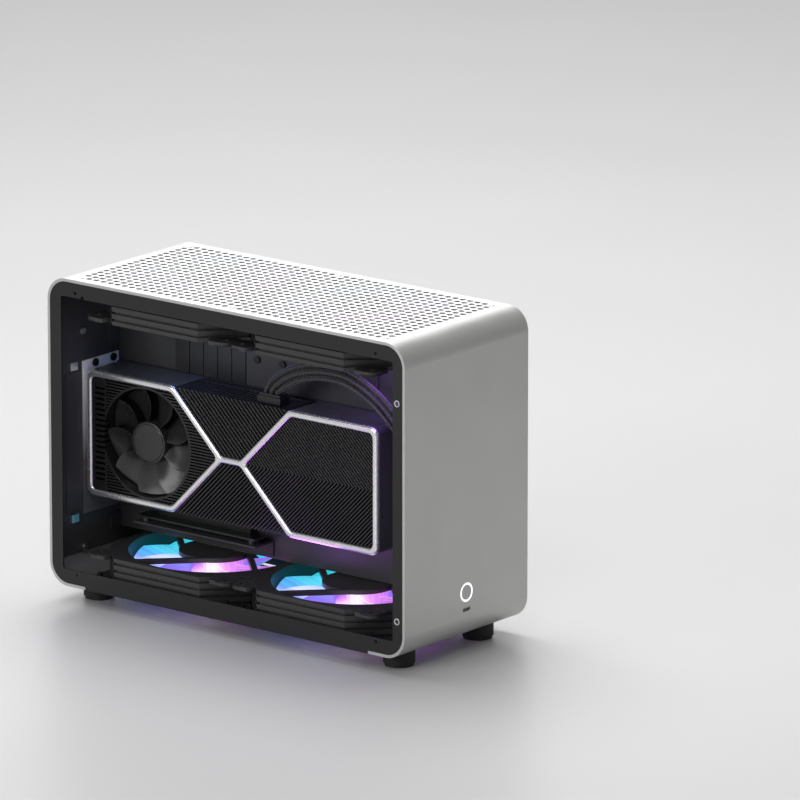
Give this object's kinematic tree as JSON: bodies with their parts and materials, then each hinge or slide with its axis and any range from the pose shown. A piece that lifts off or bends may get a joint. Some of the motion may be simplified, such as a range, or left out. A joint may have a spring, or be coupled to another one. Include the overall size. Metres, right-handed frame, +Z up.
{
  "type": "mini-itx computer case",
  "caption": "Compact silver computer case with an open side, perforated top, lit fans above and below, round feet and an upright graphics card with an X-shaped bright frame.",
  "frame": {"origin": "on the floor, under the middle of the case's box", "axes": "+Z up, +Y from the front panel to the rear panel, +X from the open side to the closed side"},
  "size_m": [0.147, 0.346, 0.2539],
  "materials": {
    "shell": "bead-blasted, clear anodised",
    "shell_inner": "fine-texture dark grey powder coat",
    "cover": "bead-blasted, clear anodised",
    "steel_dark": "fine-texture black powder coat",
    "steel_bright": "nickel plated",
    "screw_white": "satin",
    "screw_dark": "black oxide",
    "fan_plastic": "moulded, fine texture",
    "fan_blade": "frosted, lit from the hub",
    "rubber": "matt",
    "trim": "satin cast frame",
    "card_plastic": "fine texture",
    "fin_metal": "black nickel",
    "board": "solder mask over glass fibre",
    "brass": "turned",
    "plug": "moulded",
    "cable": "braided sleeve",
    "ribbon": "flat shielded cable",
    "port_metal": "plated",
    "button": "satin",
    "ring": "milky light guide",
    "cooler": "anodised"
  },
  "bodies": {
    "case": {"outer_shell": "shell", "side_frame_left": "shell_inner", "side_frame_right": "shell_inner", "snap_sockets": "steel_bright", "rear_panel": "steel_dark", "rear_screws": "screw_white", "slot_cover": "steel_dark", "slot_clips": "steel_bright", "bottom_panel": "steel_dark", "top_fan_bracket": "steel_dark", "top_screws": "screw_white", "feet": "rubber", "foot_pads": "rubber", "divider_plate": "steel_dark", "divider_cover": "steel_dark", "divider_screws": "screw_dark", "standoffs": "brass", "motherboard": "board", "io_shield": "port_metal", "io_ports": "port_metal", "ram_sticks": "card_plastic", "cpu_cooler": "cooler", "psu_case": "steel_dark", "psu_bracket": "steel_dark", "power_inlet": "plug", "button_ring": "ring", "usb_port": "port_metal", "front_io_board": "board", "front_posts": "steel_bright", "gpu_trim": "trim", "gpu_shroud": "card_plastic", "gpu_fins_rear": "fin_metal", "gpu_fins_middle": "fin_metal", "gpu_fins_front": "fin_metal", "gpu_backplate": "card_plastic", "gpu_board": "board", "gpu_bracket": "port_metal", "gpu_bracket_screws": "screw_dark", "power_plugs": "plug", "gpu_power_cables": "cable", "riser_bracket": "steel_dark", "riser_board": "board", "riser_slot": "card_plastic", "riser_ribbon": "ribbon", "fan_frame_1": "fan_plastic", "fan_frame_2": "fan_plastic", "fan_frame_3": "fan_plastic", "fan_frame_4": "fan_plastic", "fan_pads": "rubber", "fan_screws": "screw_dark"},
    "fan_1": {"fan_rotor_1": "fan_blade"},
    "fan_2": {"fan_rotor_2": "fan_blade"},
    "fan_3": {"fan_rotor_3": "fan_blade"},
    "fan_4": {"fan_rotor_4": "fan_blade"},
    "gpu_fan": {"gpu_rotor": "fan_plastic"},
    "cooler_fan": {"cooler_rotor": "fan_plastic"},
    "psu_fan": {"psu_rotor": "fan_plastic"},
    "button": {"power_button": "button"},
    "side_panel": {"right_side_panel": "cover", "panel_studs": "steel_bright"}
  },
  "joints": [
    {"name": "fan_1_spin", "type": "hinge", "parent": "case", "child": "fan_1", "pos_m": [0, -0.0702, 0.027], "axis": [0, 0, 1], "continuous": true},
    {"name": "fan_2_spin", "type": "hinge", "parent": "case", "child": "fan_2", "pos_m": [0, 0.0702, 0.027], "axis": [0, 0, 1], "continuous": true},
    {"name": "fan_3_spin", "type": "hinge", "parent": "case", "child": "fan_3", "pos_m": [0, -0.0702, 0.2345], "axis": [0, 0, 1], "continuous": true},
    {"name": "fan_4_spin", "type": "hinge", "parent": "case", "child": "fan_4", "pos_m": [0, 0.0702, 0.2345], "axis": [0, 0, 1], "continuous": true},
    {"name": "gpu_fan_spin", "type": "hinge", "parent": "case", "child": "gpu_fan", "pos_m": [-0.026, 0.109, 0.12445], "axis": [1, 0, 0], "continuous": true},
    {"name": "cooler_fan_spin", "type": "hinge", "parent": "case", "child": "cooler_fan", "pos_m": [0.052, 0.094, 0.1085], "axis": [1, 0, 0], "continuous": true},
    {"name": "psu_fan_spin", "type": "hinge", "parent": "case", "child": "psu_fan", "pos_m": [0.061, -0.082, 0.132], "axis": [1, 0, 0], "continuous": true},
    {"name": "power_button_press", "type": "slide", "parent": "case", "child": "button", "axis": [0, 1, 0], "range_m": [0, 0.001], "stiffness_N_per_m": 800},
    {"name": "side_panel_pull", "type": "slide", "parent": "case", "child": "side_panel", "axis": [1, 0, 0], "range_m": [0, 0.04]}
  ]
}
